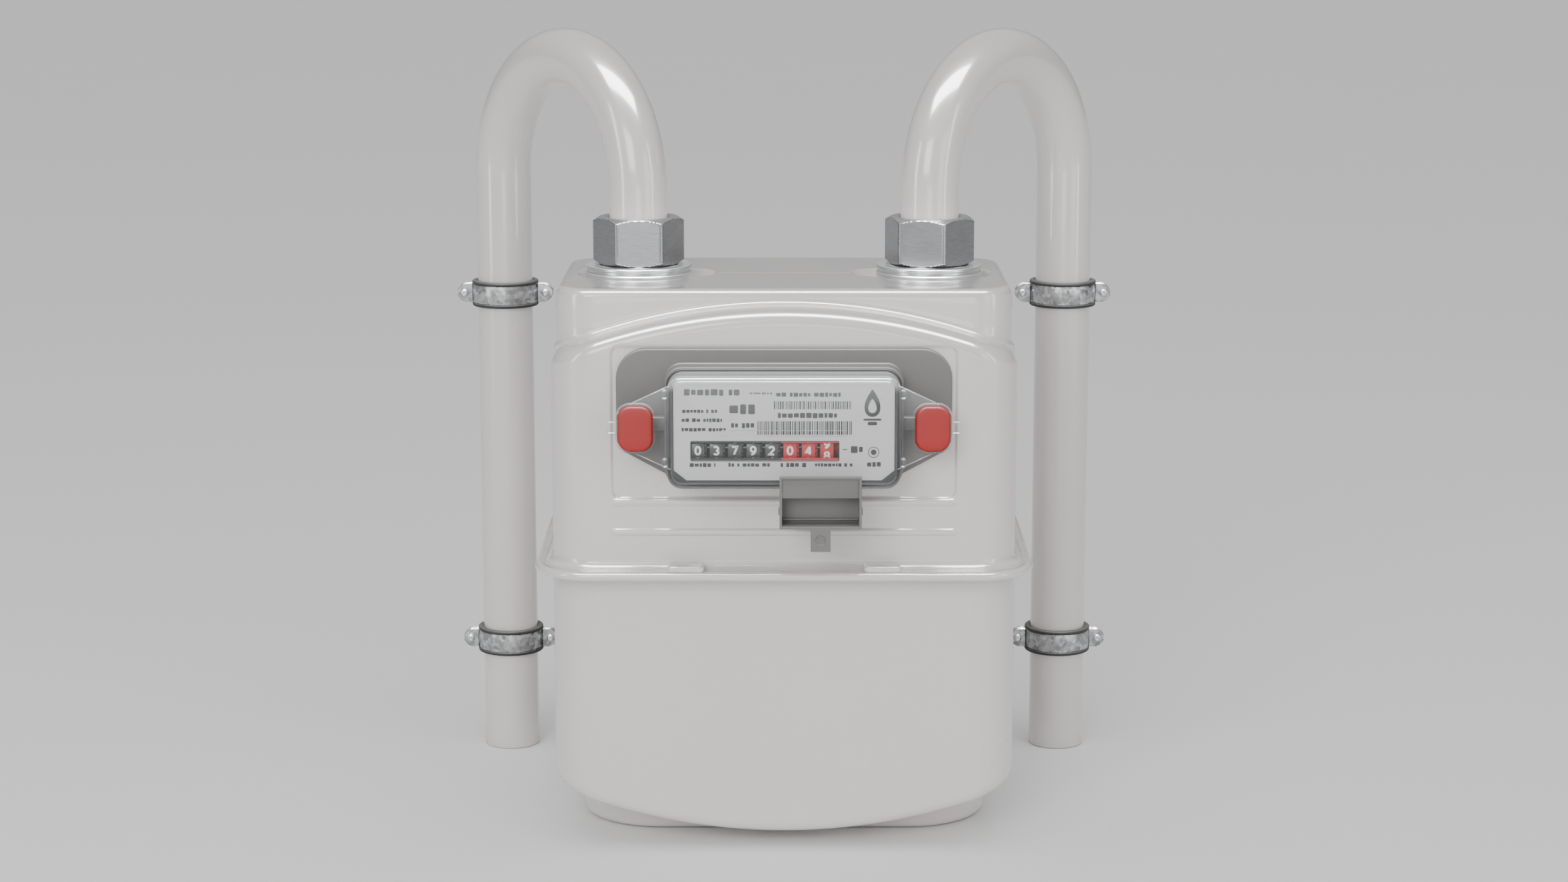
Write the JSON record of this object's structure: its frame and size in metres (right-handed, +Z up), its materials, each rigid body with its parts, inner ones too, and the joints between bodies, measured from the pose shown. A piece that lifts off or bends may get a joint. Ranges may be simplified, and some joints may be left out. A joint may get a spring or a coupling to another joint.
{
  "type": "gas meter",
  "caption": "Domestic diaphragm gas meter in a pressed steel casing, with a drum counter, swan-neck inlet and outlet pipes and wall clamps on the pipes.",
  "frame": {"origin": "centre of the casing's flat base, on the floor", "axes": "+X to the right seen from the front, +Y to the wall, +Z up; the index faces -Y"},
  "size_m": [0.2632, 0.1912, 0.296],
  "materials": {
    "paint": "glossy off-white enamel",
    "steel": "plain bright steel",
    "zinc": "zinc plated",
    "rubber": "matte black",
    "grey_plastic": "moulded mid grey",
    "clear_plastic": "clear moulded plastic",
    "dial": "off-white printed plate",
    "wheel_black": "black moulding",
    "seal_red": "red moulding",
    "acetal": "natural white moulding",
    "brass": "machined",
    "membrane": "coated cloth"
  },
  "bodies": {
    "meter": {"lower_case": "paint", "upper_case": "paint", "crimp_band": "paint", "case_gasket": "rubber", "flange_clips": "paint", "port_spigots": "zinc", "port_gaskets": "rubber", "union_nuts": "steel", "inlet_pipe": "paint", "outlet_pipe": "paint", "clamp_front_halves": "zinc", "clamp_rear_halves": "zinc", "clamp_liners": "rubber", "clamp_screws": "zinc", "clamp_nuts": "zinc", "index_mount_plate": "grey_plastic", "index_housing": "grey_plastic", "index_cover": "clear_plastic", "cover_gasket": "rubber", "dial_plate": "dial", "index_frame": "steel", "index_shafts": "steel", "shaft_bush": "brass", "seal_caps": "seal_red", "cover_screws": "zinc", "pulse_pocket": "grey_plastic", "measuring_body": "acetal", "diaphragms": "membrane", "chamber_covers": "acetal", "crank_bridge": "steel", "outlet_duct": "acetal", "support_pads": "rubber"},
    "input_shaft": {"drive_shaft": "acetal", "worm_wheel": "acetal"},
    "front_pan": {"front_pan": "steel"},
    "rear_pan": {"rear_pan": "steel"},
    "front_flag": {"front_flag": "steel"},
    "rear_flag": {"rear_flag": "steel"},
    "front_link": {"front_link": "steel"},
    "rear_link": {"rear_link": "steel"},
    "front_valve": {"front_valve": "wheel_black"},
    "rear_valve": {"rear_valve": "wheel_black"},
    "front_valve_rod": {"front_valve_rod": "steel"},
    "rear_valve_rod": {"rear_valve_rod": "steel"},
    "crank": {"crank": "brass"},
    "number_wheel_1": {"number_wheel_1": "wheel_black"},
    "number_wheel_2": {"number_wheel_2": "wheel_black"},
    "number_wheel_3": {"number_wheel_3": "wheel_black"},
    "number_wheel_4": {"number_wheel_4": "wheel_black"},
    "number_wheel_5": {"number_wheel_5": "wheel_black"},
    "number_wheel_6": {"number_wheel_6": "seal_red"},
    "number_wheel_7": {"number_wheel_7": "seal_red"},
    "number_wheel_8": {"number_wheel_8": "seal_red"},
    "transfer_pinion_1": {"transfer_pinion_1": "acetal"},
    "transfer_pinion_2": {"transfer_pinion_2": "acetal"},
    "transfer_pinion_3": {"transfer_pinion_3": "acetal"},
    "transfer_pinion_4": {"transfer_pinion_4": "acetal"},
    "transfer_pinion_5": {"transfer_pinion_5": "acetal"},
    "transfer_pinion_6": {"transfer_pinion_6": "acetal"},
    "transfer_pinion_7": {"transfer_pinion_7": "acetal"}
  },
  "joints": [
    {"name": "wheel_8_spin", "type": "hinge", "parent": "meter", "child": "number_wheel_8", "pos_m": [0.01289, -0.0761, 0.153], "axis": [1, 0, 0], "continuous": true},
    {"name": "wheel_7_spin", "type": "hinge", "parent": "meter", "child": "number_wheel_7", "pos_m": [0.00632, -0.0761, 0.153], "axis": [1, 0, 0], "continuous": true},
    {"name": "wheel_6_spin", "type": "hinge", "parent": "meter", "child": "number_wheel_6", "pos_m": [-0.00025, -0.0761, 0.153], "axis": [1, 0, 0], "continuous": true},
    {"name": "wheel_5_spin", "type": "hinge", "parent": "meter", "child": "number_wheel_5", "pos_m": [-0.00682, -0.0761, 0.153], "axis": [1, 0, 0], "continuous": true},
    {"name": "wheel_4_spin", "type": "hinge", "parent": "meter", "child": "number_wheel_4", "pos_m": [-0.01339, -0.0761, 0.153], "axis": [1, 0, 0], "continuous": true},
    {"name": "wheel_3_spin", "type": "hinge", "parent": "meter", "child": "number_wheel_3", "pos_m": [-0.01996, -0.0761, 0.153], "axis": [1, 0, 0], "continuous": true},
    {"name": "wheel_2_spin", "type": "hinge", "parent": "meter", "child": "number_wheel_2", "pos_m": [-0.02653, -0.0761, 0.153], "axis": [1, 0, 0], "continuous": true},
    {"name": "wheel_1_spin", "type": "hinge", "parent": "meter", "child": "number_wheel_1", "pos_m": [-0.0331, -0.0761, 0.153], "axis": [1, 0, 0], "continuous": true},
    {"name": "pinion_7_spin", "type": "hinge", "parent": "meter", "child": "transfer_pinion_7", "pos_m": [0.01142, -0.0761, 0.1449], "axis": [1, 0, 0], "continuous": true},
    {"name": "pinion_6_spin", "type": "hinge", "parent": "meter", "child": "transfer_pinion_6", "pos_m": [0.00485, -0.0761, 0.1449], "axis": [1, 0, 0], "continuous": true},
    {"name": "pinion_5_spin", "type": "hinge", "parent": "meter", "child": "transfer_pinion_5", "pos_m": [-0.00172, -0.0761, 0.1449], "axis": [1, 0, 0], "continuous": true},
    {"name": "pinion_4_spin", "type": "hinge", "parent": "meter", "child": "transfer_pinion_4", "pos_m": [-0.00829, -0.0761, 0.1449], "axis": [1, 0, 0], "continuous": true},
    {"name": "pinion_3_spin", "type": "hinge", "parent": "meter", "child": "transfer_pinion_3", "pos_m": [-0.01486, -0.0761, 0.1449], "axis": [1, 0, 0], "continuous": true},
    {"name": "pinion_2_spin", "type": "hinge", "parent": "meter", "child": "transfer_pinion_2", "pos_m": [-0.02143, -0.0761, 0.1449], "axis": [1, 0, 0], "continuous": true},
    {"name": "pinion_1_spin", "type": "hinge", "parent": "meter", "child": "transfer_pinion_1", "pos_m": [-0.028, -0.0761, 0.1449], "axis": [1, 0, 0], "continuous": true},
    {"name": "input_shaft_spin", "type": "hinge", "parent": "meter", "child": "input_shaft", "pos_m": [0.029, -0.0761, 0.153], "axis": [0, 1, 0], "continuous": true},
    {"name": "crank_spin", "type": "hinge", "parent": "meter", "child": "crank", "pos_m": [0.01541, 0, 0.124], "axis": [0, 0, 1], "continuous": true},
    {"name": "front_flag_swing", "type": "hinge", "parent": "meter", "child": "front_flag", "pos_m": [-0.037, -0.02, 0.06], "axis": [0, 0, 1], "range_deg": [-36.52, 6.48]},
    {"name": "rear_flag_swing", "type": "hinge", "parent": "meter", "child": "rear_flag", "pos_m": [-0.037, 0.02, 0.06], "axis": [0, 0, 1], "range_deg": [-6.48, 36.52]},
    {"name": "front_pan_slide", "type": "slide", "parent": "meter", "child": "front_pan", "axis": [0, 1, 0], "range_m": [-0.0222, 0.0042]},
    {"name": "rear_pan_slide", "type": "slide", "parent": "meter", "child": "rear_pan", "axis": [0, 1, 0], "range_m": [-0.0042, 0.0222]},
    {"name": "front_link_pivot", "type": "hinge", "parent": "front_flag", "child": "front_link", "pos_m": [-0.01715, -0.03145, 0.118], "axis": [0, 0, 1], "range_deg": [-6.98, 37.02]},
    {"name": "rear_link_pivot", "type": "hinge", "parent": "rear_flag", "child": "rear_link", "pos_m": [-0.01715, 0.03145, 0.118], "axis": [0, 0, 1], "range_deg": [-37.02, 6.98]},
    {"name": "front_valve_slide", "type": "slide", "parent": "meter", "child": "front_valve", "axis": [0.7071, -0.7071, 0], "range_m": [-0.0149, 0.0029]},
    {"name": "rear_valve_slide", "type": "slide", "parent": "meter", "child": "rear_valve", "axis": [0.7071, 0.7071, 0], "range_m": [-0.0149, 0.0029]},
    {"name": "front_valve_rod_pivot", "type": "hinge", "parent": "front_valve", "child": "front_valve_rod", "pos_m": [0.03602, -0.0206, 0.115], "axis": [0, 0, 1], "range_deg": [-6.98, 37.02]},
    {"name": "rear_valve_rod_pivot", "type": "hinge", "parent": "rear_valve", "child": "rear_valve_rod", "pos_m": [0.03602, 0.0206, 0.115], "axis": [0, 0, 1], "range_deg": [-37.02, 6.98]}
  ],
  "couplings": [
    {"joint": "wheel_7_spin", "follows": "wheel_8_spin", "ratio": 0.1},
    {"joint": "wheel_6_spin", "follows": "wheel_8_spin", "ratio": 0.01},
    {"joint": "wheel_5_spin", "follows": "wheel_8_spin", "ratio": 0.001},
    {"joint": "wheel_4_spin", "follows": "wheel_8_spin", "ratio": 0.0001},
    {"joint": "wheel_3_spin", "follows": "wheel_8_spin", "ratio": 0.00001},
    {"joint": "wheel_2_spin", "follows": "wheel_8_spin", "ratio": 0.000001},
    {"joint": "wheel_1_spin", "follows": "wheel_8_spin", "ratio": 0.0000001},
    {"joint": "pinion_7_spin", "follows": "wheel_8_spin", "ratio": -0.25},
    {"joint": "pinion_6_spin", "follows": "wheel_8_spin", "ratio": -0.025},
    {"joint": "pinion_5_spin", "follows": "wheel_8_spin", "ratio": -0.0025},
    {"joint": "pinion_4_spin", "follows": "wheel_8_spin", "ratio": -0.00025},
    {"joint": "pinion_3_spin", "follows": "wheel_8_spin", "ratio": -0.000025},
    {"joint": "pinion_2_spin", "follows": "wheel_8_spin", "ratio": -0.0000025},
    {"joint": "pinion_1_spin", "follows": "wheel_8_spin", "ratio": -0.00000025},
    {"joint": "input_shaft_spin", "follows": "wheel_8_spin", "ratio": 1},
    {"joint": "crank_spin", "follows": "wheel_8_spin", "ratio": 20},
    {"joint": "front_pan_slide", "follows": "front_flag_swing", "m_per_rad": 0.03432},
    {"joint": "rear_pan_slide", "follows": "rear_flag_swing", "m_per_rad": 0.03432},
    {"joint": "front_link_pivot", "follows": "front_flag_swing", "ratio": -1},
    {"joint": "rear_link_pivot", "follows": "rear_flag_swing", "ratio": -1},
    {"joint": "front_valve_slide", "follows": "rear_flag_swing", "m_per_rad": -0.02292},
    {"joint": "rear_valve_slide", "follows": "front_flag_swing", "m_per_rad": 0.02292},
    {"joint": "front_valve_rod_pivot", "follows": "front_flag_swing", "ratio": -1},
    {"joint": "rear_valve_rod_pivot", "follows": "rear_flag_swing", "ratio": -1}
  ]
}
